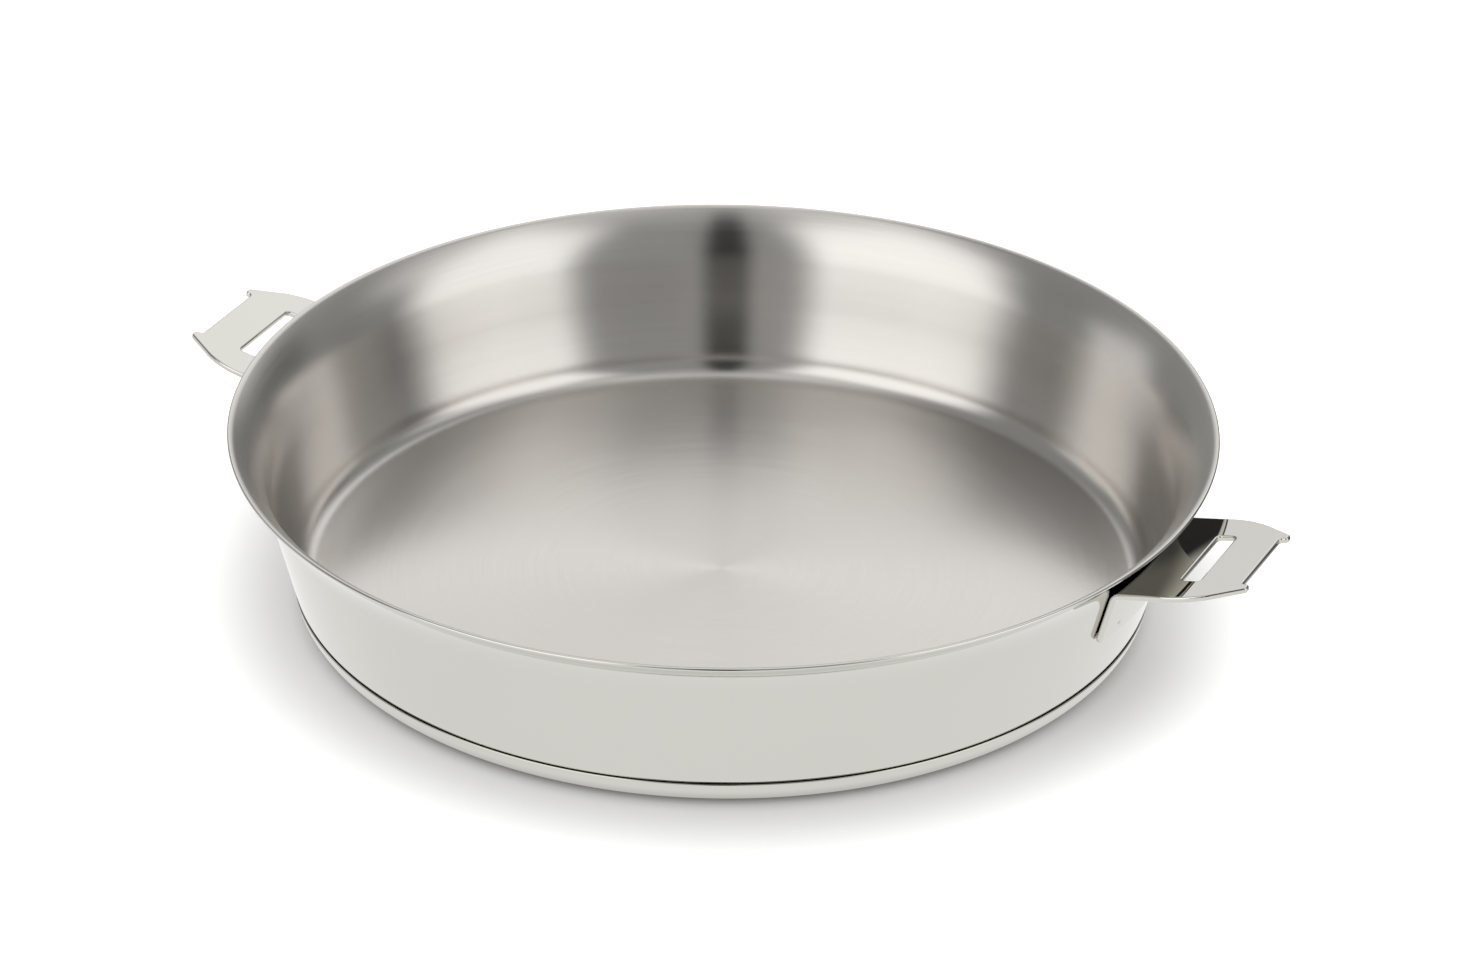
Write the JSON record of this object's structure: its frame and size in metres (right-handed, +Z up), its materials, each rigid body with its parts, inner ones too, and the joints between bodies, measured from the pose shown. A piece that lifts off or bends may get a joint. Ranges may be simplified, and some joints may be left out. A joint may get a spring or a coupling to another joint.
{
  "type": "frying pan",
  "caption": "Shallow flared steel frying pan on a layered base, with a bent slotted bracket on each side for a clip-on handle.",
  "frame": {"origin": "centre of the base, on the surface that the pan stands on", "axes": "+Z up out of the pan; +X through the middle of the right bracket, so the two brackets lie on the X axis"},
  "size_m": [0.3538, 0.3, 0.0575],
  "materials": {
    "satin_steel": "satin brushed inside, mirror polished outside",
    "polished_steel": "mirror polished",
    "aluminium": "plain rolled"
  },
  "bodies": {
    "root": {"pan_shell": "satin_steel", "base_cap": "polished_steel", "heat_spreader_disc": "aluminium", "bracket_right": "polished_steel", "bracket_left": "polished_steel", "spot_weld_right_1": "polished_steel", "spot_weld_right_2": "polished_steel", "spot_weld_right_3": "polished_steel", "spot_weld_left_1": "polished_steel", "spot_weld_left_2": "polished_steel", "spot_weld_left_3": "polished_steel"}
  },
  "joints": []
}
